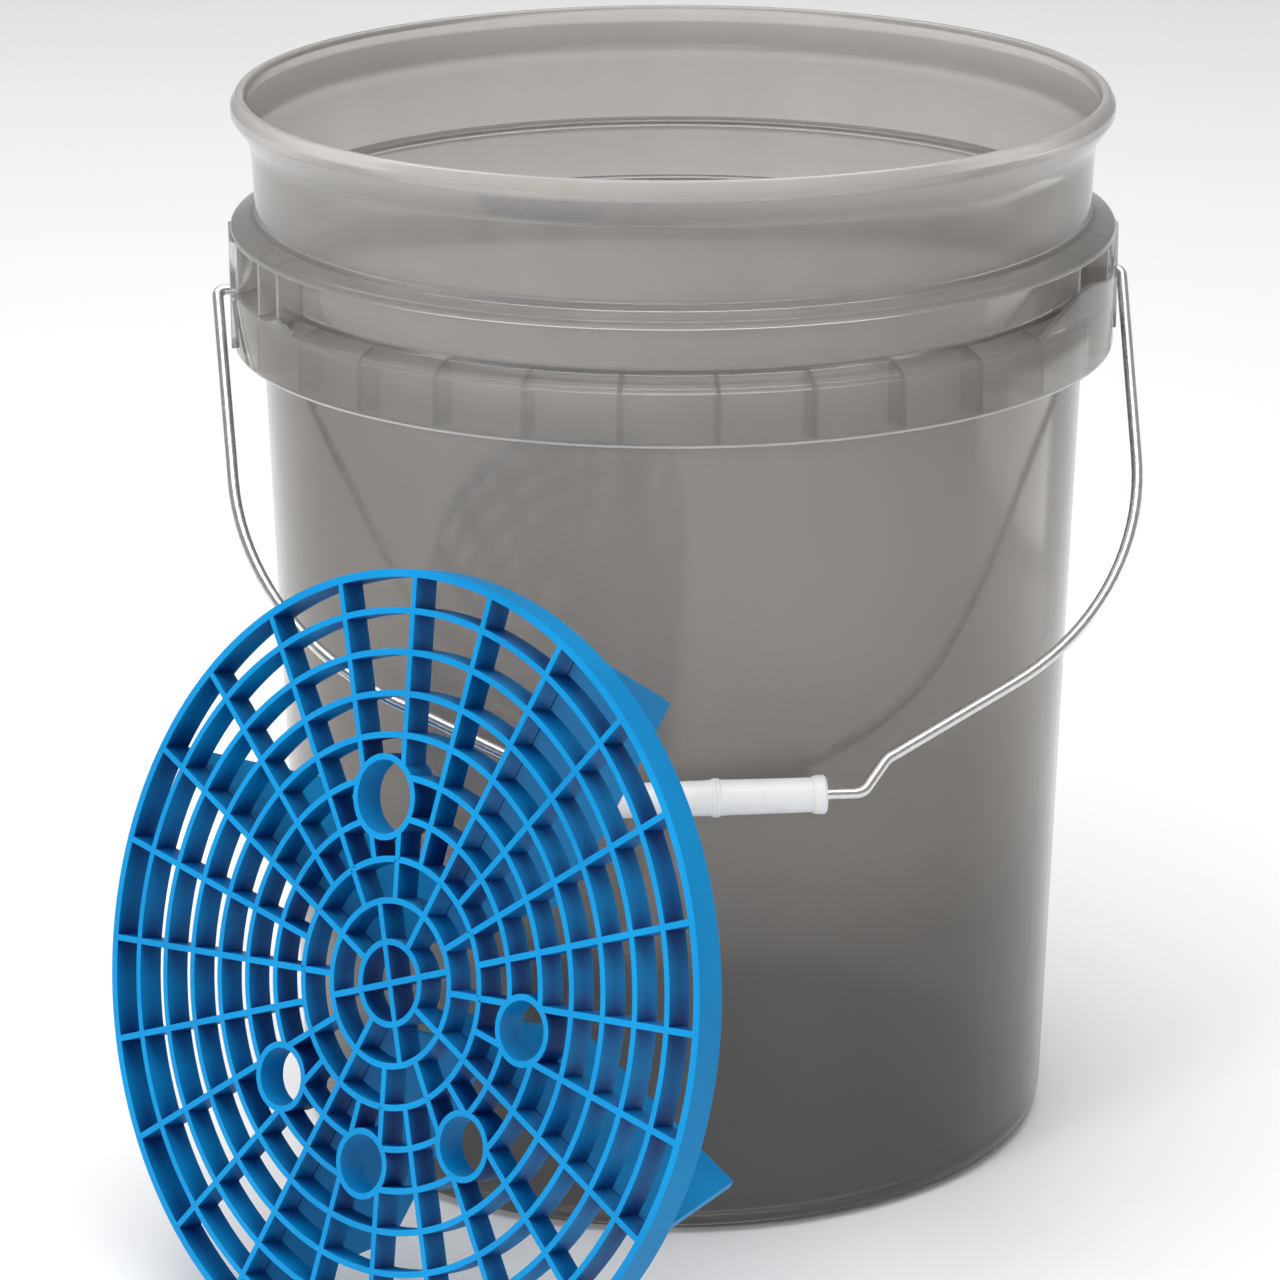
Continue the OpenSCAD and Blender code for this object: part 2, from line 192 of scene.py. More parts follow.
def smoke_plastic(name, clear=0.0):
    """Clear smoke-grey polypropylene: cloudy, glossy, with faint upright flow streaks. Painted
    shade darkens it low down, as if a dark floor showed through the wall, and where the wall is
    seen at a slant, in place of light's longer path through the plastic. A painted highlight
    lies at the ledge and along the skirt's lower edge, and it is paler at the rim. The share
    clear makes it paler where the moulding is thin."""
    material, tree, shader = new_material(name)
    streaks = noise_field(tree, object_coords(tree, (1, 1, 0.06)), 38.0, 3.0)
    cloud = noise_field(tree, object_coords(tree), 9.0, 4.0)
    both = mixed(tree, streaks, cloud, "MIX", 0.5)
    smoke = colour_ramp(tree, both, [
        (0.30, (0.74, 0.72, 0.70)), (0.70, (0.80, 0.78, 0.76)),
    ])
    upright = tree.nodes.new("ShaderNodeSeparateXYZ")
    tree.links.new(object_coords(tree), upright.inputs[0])
    height = spread(tree, upright.outputs["Z"], 0, 1, 0.0, SMOKE_RAMP_TOP)
    # Lower wall, upper wall, ledge, band and neck, rim. The lower wall's darker stops are painted
    # shade, as if a dark floor showed through it; the pale stop at the ledge is a painted
    # highlight.
    depth = colour_ramp(tree, height, [
        (0.0, (0.45, 0.445, 0.445)), (0.24, (0.46, 0.45, 0.445)), (0.33, (0.64, 0.62, 0.60)),
        (0.55, (0.70, 0.685, 0.67)), (0.70, (0.73, 0.715, 0.70)), (0.75, (0.93, 0.92, 0.91)),
        (0.77, (0.78, 0.77, 0.76)), (0.89, (0.78, 0.77, 0.765)), (0.92, (0.92, 0.91, 0.90)),
    ])
    # Painted shade: the colour darkens where the wall is seen at a slant, in place of light's
    # longer path through the plastic; above the collar it is left off.
    slant = tree.nodes.new("ShaderNodeLayerWeight")
    slant.inputs["Blend"].default_value = 0.5
    edge = colour_ramp(tree, slant.outputs["Facing"], [
        (0.0, (1.0, 1.0, 1.0)), (0.30, (0.88, 0.87, 0.86)), (0.60, (0.62, 0.60, 0.58)),
    ])
    collar_up = spread(tree, height, 0, 1, 0.745, 0.755)
    edge = mixed(tree, edge, (1.0, 1.0, 1.0), "MIX", collar_up)
    colour = mixed(tree, mixed(tree, smoke, depth, "MULTIPLY"), edge, "MULTIPLY")
    if clear > 0:
        colour = mixed(tree, colour, (1.0, 0.99, 0.98), "MIX", clear)
    # Painted highlight: a pale line on the skirt's outer face at its lower edge, where the wall
    # also lets less light through.
    axis_off = tree.nodes.new("ShaderNodeVectorMath")
    axis_off.operation = "LENGTH"
    tree.links.new(object_coords(tree, (1, 1, 0)), axis_off.inputs[0])
    outside = calculated(tree, "GREATER_THAN", axis_off.outputs["Value"], SKIRT_EDGE_R)
    at_edge = calculated(
        tree, "COMPARE", upright.outputs["Z"], SKIRT_EDGE_Z, SKIRT_EDGE_REACH
    )
    painted_highlight = calculated(tree, "MULTIPLY", outside, at_edge)
    colour = mixed(tree, colour, SKIRT_HIGHLIGHT_COLOUR, "MIX", painted_highlight)
    tree.links.new(colour, shader.inputs["Base Color"])
    tree.links.new(spread(tree, cloud, 0.08, 0.16), shader.inputs["Roughness"])
    clear_wall = spread(tree, height, 0.82, 0.62, 0.89, 0.92)
    see_through = calculated(
        tree, "MULTIPLY_ADD", painted_highlight, -SKIRT_HIGHLIGHT_CLEAR_LOSS, clear_wall
    )
    tree.links.new(see_through, shader.inputs["Transmission Weight"])
    shader.inputs["IOR"].default_value = 1.45
    shader.inputs["Specular IOR Level"].default_value = 0.25
    bump(tree, shader, streaks, 0.2 * MM, 0.4)
    return material


def guard_plastic():
    """Satin blue polypropylene with a fine moulded grain, and painted shade that darkens it in the
    grille's slots and hollows.
    """
    material, tree, shader = new_material("guard_plastic")
    cloud = noise_field(tree, object_coords(tree), 22.0, 4.0)
    colour = colour_ramp(tree, cloud, [
        (0.30, (0.001, 0.21, 0.50)), (0.70, (0.002, 0.26, 0.59)),
    ])
    # Painted shade: ambient occlusion darkens the colour in the slots and hollows, where shade
    # falls.
    painted_cavity_shade = tree.nodes.new("ShaderNodeAmbientOcclusion")
    painted_cavity_shade.inputs["Distance"].default_value = 12 * MM
    painted_cavity_shade.samples = 8
    painted_cavity_shade.only_local = True
    shade = colour_ramp(tree, painted_cavity_shade.outputs["AO"], [
        (0.45, (0.10, 0.14, 0.34)), (0.90, (1.0, 1.0, 1.0)),
    ])
    colour = mixed(tree, colour, shade, "MULTIPLY")
    tree.links.new(colour, shader.inputs["Base Color"])
    tree.links.new(spread(tree, cloud, 0.36, 0.50), shader.inputs["Roughness"])
    shader.inputs["Specular IOR Level"].default_value = 0.15
    grain = noise_field(tree, object_coords(tree), 1100.0, 3.0)
    soft = noise_field(tree, object_coords(tree), 180.0, 2.0)
    wave = bump(tree, shader, soft, 0.08 * MM, 0.4)
    bump(tree, shader, grain, 0.02 * MM, 0.5, wave)
    return material


def galvanised_wire():
    """Bright zinc-coated wire with fine grey patches."""
    material, tree, shader = new_material("galvanised_wire")
    spangle = tree.nodes.new("ShaderNodeTexVoronoi")
    spangle.inputs["Scale"].default_value = 420.0
    tree.links.new(object_coords(tree), spangle.inputs["Vector"])
    colour = colour_ramp(tree, spangle.outputs["Distance"], [
        (0.10, (0.74, 0.73, 0.72)), (0.75, (0.64, 0.63, 0.62)),
    ])
    tree.links.new(colour, shader.inputs["Base Color"])
    shader.inputs["Metallic"].default_value = 1.0
    worn = noise_field(tree, object_coords(tree), 260.0, 3.0)
    tree.links.new(spread(tree, worn, 0.20, 0.30), shader.inputs["Roughness"])
    bump(tree, shader, worn, 0.02 * MM, 0.3)
    return material


def grip_plastic():
    """White polyethylene, a little cloudy, with a soft grain."""
    material, tree, shader = new_material("grip_plastic")
    cloud = noise_field(tree, object_coords(tree), 60.0, 4.0)
    colour = colour_ramp(tree, cloud, [
        (0.25, (0.80, 0.80, 0.79)), (0.60, (0.88, 0.88, 0.88)),
    ])
    tree.links.new(colour, shader.inputs["Base Color"])
    tree.links.new(spread(tree, cloud, 0.30, 0.45), shader.inputs["Roughness"])
    shader.inputs["Subsurface Weight"].default_value = 0.12
    shader.inputs["Subsurface Radius"].default_value = (1.5 * MM, 1.5 * MM, 1.5 * MM)
    grain = noise_field(tree, object_coords(tree), 1500.0, 2.0)
    bump(tree, shader, grain, 0.015 * MM, 0.6)
    return material


SMOKE = smoke_plastic("smoke_plastic")
THIN_SMOKE = smoke_plastic("thin_smoke_plastic", 0.6)
BLUE = guard_plastic()
WIRE = galvanised_wire()
WHITE = grip_plastic()


# ---------------------------------------------------------------- mesh helpers

def add_object(name, mesh, material, body=None, replaces=()):
    """Puts a mesh in the scene as a piece that rides on a body and stands for some CAD nodes."""
    piece = bpy.data.objects.new(name, mesh)
    scene.collection.objects.link(piece)
    piece.data.materials.append(material)
    if body:
        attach(piece, body)
    if replaces:
        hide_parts(*replaces)
    return piece


BEVEL_FROM = 35


def smooth_by_angle(mesh, degrees):
    """Smooth shading, with hard edges where faces meet more sharply than the angle."""
    mesh.shade_smooth()
    mesh.set_sharp_from_angle(angle=math.radians(degrees))


def add_bevel(piece, width):
    """Rounds the edges that are sharper than BEVEL_FROM degrees."""
    bevel = piece.modifiers.new("round", "BEVEL")
    bevel.width = width
    bevel.segments = 2
    bevel.limit_method = "ANGLE"
    bevel.angle_limit = math.radians(BEVEL_FROM)
    bevel.harden_normals = True


LEG_SHARE = 0.49   # a fillet takes up at most this share of the sides beside it
NO_CORNER = 1e-3   # radians: a sharper turn back than this gets no fillet
NO_LENGTH = 1e-9   # metres: a shorter side than this counts as none


def fillet(outline, steps):
    """Rounds the corners of a 2D outline of (x, y, radius) points, each to the same point count."""
    points = []
    count = len(outline)
    for i, (x, y, radius) in enumerate(outline):
        here = Vector((x, y))
        before = Vector(outline[i - 1][:2]) - here
        after = Vector(outline[(i + 1) % count][:2]) - here
        if radius <= 0:
            points.append((x, y))
            continue
        if before.length < NO_LENGTH or after.length < NO_LENGTH:
            points += [(x, y)] * (steps + 1)
            continue
        half = before.angle(after) / 2
        wanted = radius / math.tan(half) if half > NO_CORNER else 0
        leg = min(wanted, before.length * LEG_SHARE, after.length * LEG_SHARE)
        start = here + before.normalized() * leg
        end = here + after.normalized() * leg
        for k in range(steps + 1):
            t = k / steps
            points.append(tuple(start * (1 - t) ** 2 + here * 2 * t * (1 - t) + end * t ** 2))
    return points


def lathe(name, outline_at, angles):
    """A closed mesh turned about Z from an outline of (radius, height) points that may change
    with the angle. The outline's first and last points lie on the axis."""
    mesh = bpy.data.meshes.new(name)
    bm = bmesh.new()
    columns = []
    first = outline_at(angles[0])
    bottom = bm.verts.new((0, 0, first[0][1]))
    top = bm.verts.new((0, 0, first[-1][1]))
    for angle in angles:
        column = [
            bm.verts.new((r * math.cos(angle), r * math.sin(angle), z))
            for r, z in outline_at(angle)[1:-1]
        ]
        columns.append([bottom] + column + [top])
    for i, here in enumerate(columns):
        after = columns[(i + 1) % len(columns)]
        for j in range(len(here) - 1):
            corners = []
            for v in (here[j], after[j], after[j + 1], here[j + 1]):
                if v not in corners:
                    corners.append(v)
            if len(corners) > 2:
                bm.faces.new(corners)
    bmesh.ops.recalc_face_normals(bm, faces=bm.faces)
    bm.to_mesh(mesh)
    bm.free()
    return mesh


def box_at(bm, low, high, matrix):
    """A box between two corners, moved by the matrix."""
    size = Vector(high) - Vector(low)
    middle = (Vector(high) + Vector(low)) / 2
    place = matrix @ Matrix.Translation(middle) @ Matrix.Diagonal((*size, 1))
    bmesh.ops.create_cube(bm, size=1.0, matrix=place)


def prism(bm, outline, low, high, matrix):
    """A straight prism over a 2D outline in the XY plane of the matrix, from low to high in Z."""
    floor = [bm.verts.new(matrix @ Vector((x, y, low))) for x, y in outline]
    roof = [bm.verts.new(matrix @ Vector((x, y, high))) for x, y in outline]
    bm.faces.new(list(reversed(floor)))
    bm.faces.new(roof)
    count = len(outline)
    for i in range(count):
        j = (i + 1) % count
        bm.faces.new((floor[i], floor[j], roof[j], roof[i]))


# ---------------------------------------------------------------- the pail

RIM_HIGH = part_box("rim_lip")[1]
FLANGE_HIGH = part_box("upper_flange")[1]
LEDGE_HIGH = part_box("lower_ledge")[1]
SKIRT_LOW, SKIRT_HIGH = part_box("skirt_band")
FOOT_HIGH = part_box("base_ring")[1]
EAR_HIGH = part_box("ear_right")[1]
FLOOR_LOW, FLOOR_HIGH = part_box("pail_floor")
WALL_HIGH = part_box("pail_wall")[1]

WALL_T = 2.3 * MM
SKIRT_T = 2.0 * MM
WAIST_R = 141.4 * MM
NECK_R = WALL_HIGH.x
COLLAR_R = FLANGE_HIGH.x
FOOT_R = FOOT_HIGH.x - (WAIST_R - FOOT_HIGH.x) * FOOT_HIGH.z / (SKIRT_LOW.z - FOOT_HIGH.z)
FLANGE_DROP = 4.0 * MM
FLANGE_T = 2.8 * MM
FLANGE_SWELL = 0.4 * MM    # the flange is this much thicker at its root
LEDGE_T = 2.5 * MM
SKIN = 0.1 * MM            # the least distance between two corners of the section
# The rim's outer and inner corners, as (inwards from its widest point, down from its top, fillet)
RIM_CORNERS = [
    (0.0, 6.6, 2.2), (0.05, 3.6, 1.6), (2.0, 0.0, 1.4), (4.6, 0.0, 1.4), (5.4, 4.0, 3.0),
]
FOOT_CORNER = 9.0 * MM
INNER_CORNER = 5.0 * MM
EAR_GAP = math.asin(EAR_HIGH.y / COLLAR_R)
# The raised skirt's upper edge beside an ear, as [sideways, height] points in millimetres
BOSS_EDGE = [
    (-105, 299.5), (-99, 305), (-82, 312.5), (-72, 312.5), (-48, 308.5), (16, 302.5),
    (56, 303), (64, 305.7), (77, 299.5),
]
# The ribs behind the skirt, and the angles in degrees of those in the pockets beside an ear
RIB_COUNT = 30
POCKET_RIBS = (-32.5, -19.5, 18.7, 24.7)
PAIL_RIB_T = 1.7 * MM
RIB_FOOT = 1.5 * MM
PAIL_EDGE = 0.3 * MM


def wall_out(z):
    """The wall's outer radius at a height."""
    if z < SKIRT_LOW.z:
        return FOOT_R + (WAIST_R - FOOT_R) * z / SKIRT_LOW.z
    return WAIST_R + (NECK_R - WAIST_R) * (z - SKIRT_LOW.z) / (WALL_HIGH.z - SKIRT_LOW.z)


def from_ear(angle):
    """The turn about Z from the nearer ear to an angle, positive anticlockwise."""
    return math.remainder(angle, math.pi)


def boss_height(angle):
    """Height of the raised skirt at an angle about Z, or 0 away from the ears."""
    side = COLLAR_R * math.sin(from_ear(angle)) / MM
    for (y0, z0), (y1, z1) in zip(BOSS_EDGE, BOSS_EDGE[1:]):
        if y0 <= side <= y1:
            return (z0 + (z1 - z0) * (side - y0) / (y1 - y0)) * MM
    return 0.0


def pail_outline(angle):
    """The pail's section at an angle: underside, foot, wall, skirt, ledge, flange, rim, inside."""
    skirt_z = SKIRT_LOW.z
    ledge_z = SKIRT_HIGH.z + LEDGE_T
    root_z = LEDGE_HIGH.z
    slope = (root_z - ledge_z) / (COLLAR_R - wall_out(root_z))
    flange_z = FLANGE_HIGH.z - FLANGE_DROP
    under_z = FLANGE_HIGH.z - FLANGE_T - FLANGE_SWELL
    inner_r = COLLAR_R - SKIRT_T
    boss_z = max(boss_height(angle), ledge_z)
    inner_top = max(boss_z, ledge_z + slope * SKIRT_T)
    foot_in = FLOOR_HIGH.x
    collar = [
        (wall_out(root_z - LEDGE_T), root_z - LEDGE_T, 0.8 * MM),
        (inner_r, ledge_z - LEDGE_T, 0.5 * MM),
        (inner_r, skirt_z, 0.5 * MM),
        (COLLAR_R, skirt_z, 0.7 * MM),
        (COLLAR_R, boss_z, 0.8 * MM),
        (inner_r, inner_top, 0.5 * MM),
        (inner_r - SKIN, ledge_z + slope * (SKIRT_T + SKIN), 0.3 * MM),
        (wall_out(root_z), root_z, 1.2 * MM),
    ]
    if abs(from_ear(angle)) < EAR_GAP:
        heights = [root_z - LEDGE_T + SKIN * i for i in range(len(collar) - 1)] + [root_z]
        collar = [(wall_out(z), z, r) for z, (_, _, r) in zip(heights, collar)]
    rim = [(RIM_HIGH.x - x * MM, RIM_HIGH.z - z * MM, r * MM) for x, z, r in RIM_CORNERS]
    outline = [
        (0, FLOOR_LOW.z, 0),
        (foot_in - 1.5 * MM, FLOOR_LOW.z, 0.8 * MM),
        (foot_in, 0, 0.8 * MM),
        (FOOT_R, 0, FOOT_CORNER),
        *collar,
        (wall_out(under_z), under_z, 0.8 * MM),
        (COLLAR_R, flange_z - FLANGE_T, 0.5 * MM),
        (COLLAR_R, flange_z, 2.4 * MM),
        (wall_out(FLANGE_HIGH.z), FLANGE_HIGH.z, 1.6 * MM),
        (NECK_R, WALL_HIGH.z + 2 * MM, 12 * MM),
        *rim,
        (NECK_R - WALL_T, WALL_HIGH.z, 14 * MM),
        (WAIST_R - WALL_T, SKIRT_LOW.z, 20 * MM),
        (wall_out(FLOOR_HIGH.z) - WALL_T, FLOOR_HIGH.z, INNER_CORNER),
        (0, FLOOR_HIGH.z, 0),
    ]
    return fillet(outline, 4)


def pail_angles():
    """Even steps round the pail, with one at each corner of the raised skirt and a close pair
    at each side of each ear's gap."""
    count = 288
    close = 0.0006
    angles = [2 * math.pi * (i + 0.5) / count for i in range(count)]
    for ear in (0, math.pi):
        for side, _ in BOSS_EDGE:
            angles.append((ear + math.asin(side * MM / COLLAR_R)) % (2 * math.pi))
        for side in (-1, 1):
            for nudge in (-close, close):
                angles.append((ear + side * (EAR_GAP + nudge)) % (2 * math.pi))
    return sorted(angles)


def make_pail():
    """The shell in one mesh, from underside to rim."""
    mesh = lathe("pail_shell", pail_outline, pail_angles())
    smooth_by_angle(mesh, 38)
    add_object(
        "pail_shell", mesh, SMOKE, "pail",
        ("pail_floor", "base_ring", "pail_wall", "rim_lip", "upper_flange", "lower_ledge",
         "skirt_band"),
    )


def rib_prism(bm, angle, outline):
    """A radial rib at an angle about Z, over an outline of (radius, height) points."""
    turn = Matrix.Rotation(angle, 4, "Z") @ Matrix.Rotation(math.pi / 2, 4, "X")
    prism(bm, outline, -PAIL_RIB_T / 2, PAIL_RIB_T / 2, turn)


def make_ribs():
    """The ribs behind the skirt, and those in the pockets beside the ears."""
    lap = 0.5 * MM
    low = SKIRT_LOW.z + RIB_FOOT
    ledge_z = SKIRT_HIGH.z + LEDGE_T
    root_z = LEDGE_HIGH.z
    inner_r = COLLAR_R - SKIRT_T
    under_z = root_z - LEDGE_T
    skirt_rib = [
        (wall_out(low) - lap, low), (inner_r + lap, low),
        (inner_r + lap, ledge_z - LEDGE_T + lap), (wall_out(under_z) - lap, under_z + lap),
    ]
    flange_under = FLANGE_HIGH.z - FLANGE_T - FLANGE_SWELL
    rib_r = COLLAR_R - lap
    pocket_rib = [
        (wall_out(root_z) - lap, root_z - lap), (rib_r, ledge_z - lap),
        (rib_r, FLANGE_HIGH.z - FLANGE_DROP - FLANGE_T + lap),
        (wall_out(flange_under) - lap, flange_under + lap),
    ]
    mesh = bpy.data.meshes.new("skirt_ribs_piece")
    bm = bmesh.new()
    for i in range(RIB_COUNT):
        angle = 2 * math.pi * (i + 0.5) / RIB_COUNT
        if abs(from_ear(angle)) > EAR_GAP + math.radians(1):
            rib_prism(bm, angle, skirt_rib)
    bmesh.ops.recalc_face_normals(bm, faces=bm.faces)
    bm.to_mesh(mesh)
    bm.free()
    piece = add_object("skirt_ribs_piece", mesh, SMOKE, "pail", ("skirt_ribs",))
    add_bevel(piece, PAIL_EDGE)
    for name, ear in (("right", 0.0), ("left", math.pi)):
        mesh = bpy.data.meshes.new("pocket_ribs_" + name)
        bm = bmesh.new()
        for angle in POCKET_RIBS:
            rib_prism(bm, ear + math.radians(angle), pocket_rib)
        bmesh.ops.recalc_face_normals(bm, faces=bm.faces)
        bm.to_mesh(mesh)
        bm.free()
        piece = add_object(
            "pocket_ribs_" + name, mesh, THIN_SMOKE, "pail", ("ear_boss_" + name,)
        )
        add_bevel(piece, PAIL_EDGE)


def make_ears():
    """Each ear from its CAD solid, let a little into the wall and rounded at its edges."""
    touch = 0.3 * MM
    sink = 0.5 * MM
    edge = 0.5 * MM
    for name in ("left", "right"):
        node = "ear_" + name
        mesh = frame["nodes"][node].data.copy()
        mesh.name = node + "_piece"
        mesh.materials.clear()
        bm = bmesh.new()
        bm.from_mesh(mesh)
        bmesh.ops.remove_doubles(bm, verts=bm.verts, dist=0.01 * MM)
        bmesh.ops.dissolve_limit(
            bm, angle_limit=math.radians(3), verts=bm.verts, edges=bm.edges
        )
        for v in bm.verts:
            radius = math.hypot(v.co.x, v.co.y)
            if radius < wall_out(v.co.z) + touch:
                v.co.x *= (radius - sink) / radius
                v.co.y *= (radius - sink) / radius
        bm.to_mesh(mesh)
        bm.free()
        mesh.shade_smooth()
        piece = add_object(node + "_piece", mesh, THIN_SMOKE, "pail", (node,))
        add_bevel(piece, edge)


# ---------------------------------------------------------------- bail and grip

GRIP_BORE_R = 1.98 * MM
GRIP_STEP = 0.65 * MM      # the collars and the bead stand out this far from the barrel
GRIP_CHAMFER = 0.9 * MM


def make_grip():
    """The roller grip, turned about the wire, with stepped end collars and a middle bead."""
    low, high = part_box("grip")
    half = (high.x - low.x) / 2
    flange_r = (high.z - low.z) / 2
    barrel_r = flange_r - GRIP_STEP
    # From the middle bead: (along from the middle, radius, fillet)
    bead = [
        (0.0, GRIP_BORE_R, 0),
        (0.0, flange_r, 0.5 * MM),
        (0.9 * MM, flange_r - 0.1 * MM, 0.5 * MM),
        (1.5 * MM, barrel_r + 0.15 * MM, 0.5 * MM),
        (4.0 * MM, barrel_r, 1.0 * MM),
    ]
    # To the end collar: (back from the end, radius, fillet)
    collar = [
        (5.0 * MM, barrel_r - 0.15 * MM, 1.0 * MM),
        (4.4 * MM, barrel_r + 0.3 * MM, 0.5 * MM),
        (3.6 * MM, flange_r - 0.15 * MM, 0.4 * MM),
        (GRIP_CHAMFER, flange_r, 0.6 * MM),
        (0.0, flange_r - GRIP_CHAMFER, 0.5 * MM),
        (0.0, GRIP_BORE_R + 0.3 * MM, 0.2 * MM),
        (0.4 * MM, GRIP_BORE_R, 0),
    ]
    side = bead + [(half - back, r, fillet_r) for back, r, fillet_r in collar]
    quarter = fillet(side, 3)
    centre = (low + high) / 2
    outline = [(-x, r) for x, r in reversed(quarter)] + quarter
    mesh = bpy.data.meshes.new("grip_piece")
    bm = bmesh.new()
    steps = 72
    rings = []
    for i in range(steps):
        a = 2 * math.pi * i / steps
        rings.append([
            bm.verts.new((centre.x + x, centre.y + r * math.cos(a), centre.z + r * math.sin(a)))
            for x, r in outline
        ])
    for i in range(steps):
        here, after = rings[i], rings[(i + 1) % steps]
        for j in range(len(outline)):
            k = (j + 1) % len(outline)
            bm.faces.new((here[j], here[k], after[k], after[j]))
    bmesh.ops.remove_doubles(bm, verts=bm.verts, dist=0.001 * MM)
    bmesh.ops.recalc_face_normals(bm, faces=bm.faces)
    bm.to_mesh(mesh)
    bm.free()
    smooth_by_angle(mesh, 40)
    add_object("grip_piece", mesh, WHITE, "roller_grip", ("grip",))


def dress_wire():
    """The wire keeps its CAD shape and takes the galvanised material."""
    wire = frame["nodes"]["bail_wire"]
    wire.data.materials.clear()
    wire.data.materials.append(WIRE)
    for polygon in wire.data.polygons:
        polygon.use_smooth = True


# ---------------------------------------------------------------- the grit guard

GUARD_R = 129.97 * MM
RING_PITCH = 13 * MM
RIB_T = 2.0 * MM
RIM_T = 2.5 * MM
RIB_DEPTH = 9 * MM
RIM_DEPTH = 10 * MM
GUARD_H = 62 * MM
HOLE_AT = 58.5 * MM
THUMB_ANGLE = math.radians(107.5)
FINGER_ANGLES = [math.radians(2.5 - 45 * i) for i in range(4)]
THUMB_R = 13.7 * MM
FINGER_R = 11.3 * MM
VANE_ANGLES = [math.radians(70 + 90 * i) for i in range(4)]
VANE_T = 2.4 * MM
VANE_ROOT_R = 16 * MM
VANE_HEEL_R = 30 * MM
VANE_TIP_R = 107.7 * MM
GUARD_EDGE = 0.3 * MM


def mount(name):
    """The record's mount of this name."""
    return next(m for m in frame["record"]["mounts"] if m["name"] == name)


def guard_matrix():
    """The guard's own frame, from the CAD rim and the thumb hole: its face looks along +Z."""
    low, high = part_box("guard_rim")
    facing = Vector(mount("thumb_hole")["axis"]).normalized()
    middle = (low + high) / 2
    face = middle + facing * RIM_DEPTH / 2
    to_thumb = Vector(mount("thumb_hole")["pos_m"]) - middle
    to_thumb = (to_thumb - facing * to_thumb.dot(facing)).normalized()
    along = Matrix.Rotation(-THUMB_ANGLE, 4, facing) @ to_thumb
    across = facing.cross(along)
    turn = Matrix((along, across, facing)).transposed().to_4x4()
    return Matrix.Translation(face) @ turn


def hoop(bm, outer, inner, depth, steps, centre=(0, 0)):
    """A hoop whose face is at z = 0, reaching back by depth."""
    cx, cy = centre
    section = ((outer, 0), (outer, -depth), (inner, -depth), (inner, 0))
    rings = []
    for i in range(steps):
        a = 2 * math.pi * i / steps
        c, s = math.cos(a), math.sin(a)
        rings.append([bm.verts.new((cx + r * c, cy + r * s, z)) for r, z in section])
    for i in range(steps):
        here, after = rings[i], rings[(i + 1) % steps]
        for j in range(4):
            k = (j + 1) % 4
            bm.faces.new((here[j], after[j], after[k], here[k]))


def to_object(name, bm):
    """A plain object from a bmesh, for the booleans."""
    mesh = bpy.data.meshes.new(name)
    bmesh.ops.recalc_face_normals(bm, faces=bm.faces)
    bm.to_mesh(mesh)
    bm.free()
    piece = bpy.data.objects.new(name, mesh)
    scene.collection.objects.link(piece)
    return piece


def joined(base, operation, others):
    """The mesh of base after an exact boolean with all the others, which are then removed."""
    group = bpy.data.collections.new("operands")
    scene.collection.children.link(group)
    for other in others:
        scene.collection.objects.unlink(other)
        group.objects.link(other)
    step = base.modifiers.new("join", "BOOLEAN")
    step.operation = operation
    step.solver = "EXACT"
    step.operand_type = "COLLECTION"
    step.collection = group
    graph = bpy.context.evaluated_depsgraph_get()
    mesh = bpy.data.meshes.new_from_object(base.evaluated_get(graph))
    for piece in [*others, base]:
        bpy.data.objects.remove(piece)
    bpy.data.collections.remove(group)
    return mesh


def guard_spokes():
    """(first angle in degrees, count, inner radius, outer radius) of each band of spokes."""
    return [
        (25, 4, 0.0, RING_PITCH),
        (25, 8, RING_PITCH, 2 * RING_PITCH),
        (10, 12, 2 * RING_PITCH, 3 * RING_PITCH),
        (10, 24, 3 * RING_PITCH, GUARD_R - RIM_T),
    ]


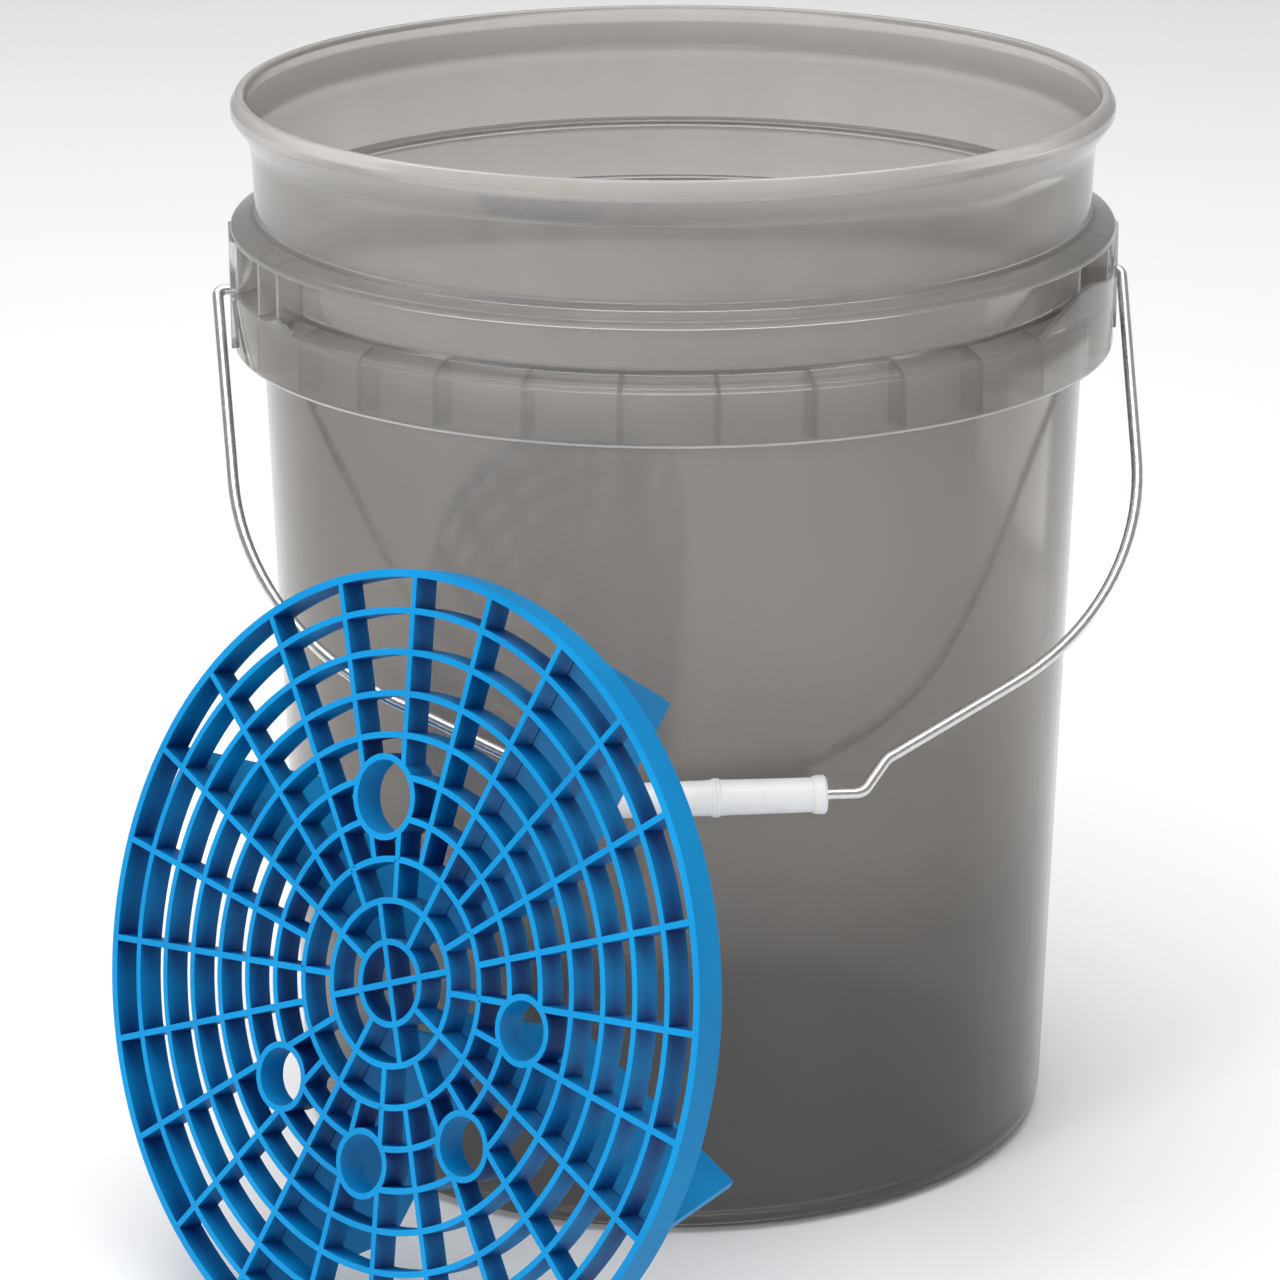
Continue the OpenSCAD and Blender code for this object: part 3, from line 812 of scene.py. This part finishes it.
def make_guard():
    """The guard as one mesh: grille, holes, collars, rim and vanes."""
    lap = 0.6 * MM
    ring_steps, hole_steps, rim_steps = 144, 64, 216
    weld = 0.02 * MM
    rings = []
    for k in range(1, 10):
        bm = bmesh.new()
        middle = k * RING_PITCH
        hoop(bm, middle + RIB_T / 2, middle - RIB_T / 2, RIB_DEPTH, ring_steps)
        rings.append(to_object("ring", bm))
    spokes = []
    for first, count, inner, outer in guard_spokes():
        for i in range(count):
            bm = bmesh.new()
            turn = Matrix.Rotation(math.radians(first + 360 * i / count), 4, "Z")
            start = inner if inner == 0 else inner - lap
            box_at(bm, (start, -RIB_T / 2, -RIB_DEPTH), (outer + lap, RIB_T / 2, 0), turn)
            spokes.append(to_object("spoke", bm))
    grid = bpy.data.objects.new("grid", joined(rings[0], "UNION", rings[1:] + spokes))
    scene.collection.objects.link(grid)

    holes = [(THUMB_R, THUMB_ANGLE)] + [(FINGER_R, a) for a in FINGER_ANGLES]
    cutters = []
    collars = []
    for radius, angle in holes:
        centre = (HOLE_AT * math.cos(angle), HOLE_AT * math.sin(angle))
        bm = bmesh.new()
        place = Matrix.Translation((*centre, -RIB_DEPTH / 2))
        bmesh.ops.create_cone(
            bm, cap_ends=True, segments=hole_steps, radius1=radius - lap, radius2=radius - lap,
            depth=RIB_DEPTH * 2, matrix=place,
        )
        cutters.append(to_object("cutter", bm))
        bm = bmesh.new()
        hoop(bm, radius, radius - RIB_T, RIM_DEPTH, hole_steps, centre)
        collars.append(to_object("collar", bm))
    grid = bpy.data.objects.new("grid", joined(grid, "DIFFERENCE", cutters))
    scene.collection.objects.link(grid)

    bm = bmesh.new()
    hoop(bm, GUARD_R, GUARD_R - RIM_T, RIM_DEPTH, rim_steps)
    rim = to_object("rim", bm)
    vanes = []
    for angle in VANE_ANGLES:
        bm = bmesh.new()
        outline = [
            (VANE_ROOT_R, -RIB_DEPTH + lap), (GUARD_R - RIM_T, -RIB_DEPTH + lap),
            (GUARD_R - RIM_T, -RIB_DEPTH), (VANE_TIP_R, -GUARD_H), (VANE_HEEL_R, -GUARD_H),
            (VANE_ROOT_R, -RIB_DEPTH),
        ]
        turn = Matrix.Rotation(angle, 4, "Z") @ Matrix.Rotation(math.pi / 2, 4, "X")
        prism(bm, outline, -VANE_T / 2, VANE_T / 2, turn)
        vanes.append(to_object("vane", bm))
    mesh = joined(grid, "UNION", [rim] + collars + vanes)
    mesh.name = "guard_piece"
    mesh.materials.clear()
    bm = bmesh.new()
    bm.from_mesh(mesh)
    bmesh.ops.remove_doubles(bm, verts=bm.verts, dist=weld)
    bmesh.ops.dissolve_degenerate(bm, edges=bm.edges, dist=weld)
    bmesh.ops.transform(bm, matrix=guard_matrix(), verts=bm.verts)
    bm.to_mesh(mesh)
    bm.free()
    smooth_by_angle(mesh, 30)
    nodes = ["guard_rim", "guard_grille", "thumb_collar"]
    nodes += ["finger_collar_%d" % i for i in range(1, 5)]
    nodes += ["guard_vane_%d" % i for i in range(1, 5)]
    piece = add_object("guard_piece", mesh, BLUE, "grit_guard", nodes)
    add_bevel(piece, GUARD_EDGE)


make_pail()
make_ribs()
make_ears()
make_grip()
dress_wire()
make_guard()


# ---------------------------------------------------------------- floor and light

def make_floor():
    """A wide pale floor, just under the object."""
    material, tree, shader = new_material("pale_floor")
    cloud = noise_field(tree, object_coords(tree), 1.5, 2.0)
    colour = colour_ramp(tree, cloud, [(0.3, (0.93, 0.93, 0.93)), (0.7, (0.95, 0.95, 0.95))])
    tree.links.new(colour, shader.inputs["Base Color"])
    shader.inputs["Roughness"].default_value = 0.6
    mesh = bpy.data.meshes.new("floor")
    reach = 8.0
    gap = 0.3 * MM
    mesh.from_pydata(
        [(-reach, -reach, 0), (reach, -reach, 0), (reach, reach, 0), (-reach, reach, 0)],
        [], [(0, 1, 2, 3)],
    )
    floor = add_object("floor", mesh, material)
    floor.location.z = -gap


def area_light(name, place, target, size, power, glossy=True):
    """A rectangle of light aimed at a target. The camera doesn't see it, and with glossy off it
    isn't seen in reflections or through the plastic either."""
    data = bpy.data.lights.new(name, "AREA")
    data.shape = "RECTANGLE"
    data.size, data.size_y = size
    data.energy = power
    light = bpy.data.objects.new(name, data)
    light.location = place
    light.rotation_euler = (Vector(target) - Vector(place)).to_track_quat("-Z", "Y").to_euler()
    light.visible_camera = False
    light.visible_glossy = glossy
    light.visible_transmission = glossy
    scene.collection.objects.link(light)


def make_light():
    """Plain soft studio light: a white world and four rectangles."""
    world = bpy.data.worlds.new("studio")
    world.use_nodes = True
    world.node_tree.nodes["Background"].inputs["Color"].default_value = (1, 1, 1, 1)
    world.node_tree.nodes["Background"].inputs["Strength"].default_value = 0.40
    scene.world = world
    middle = (0, 0, 0.2)
    area_light("top", (-0.2, 0.5, 2.6), middle, (3.0, 3.0), 56)
    area_light("strip", (0.0, -0.9, 2.2), middle, (1.6, 0.5), 13)
    area_light("key", (-1.7, -1.7, 0.95), middle, (0.7, 0.7), 30, glossy=False)
    area_light("panel", (0.62, 0.10, 0.08), (0.1, -0.1, 0.08), (0.42, 0.14), 0.2)


make_floor()
make_light()
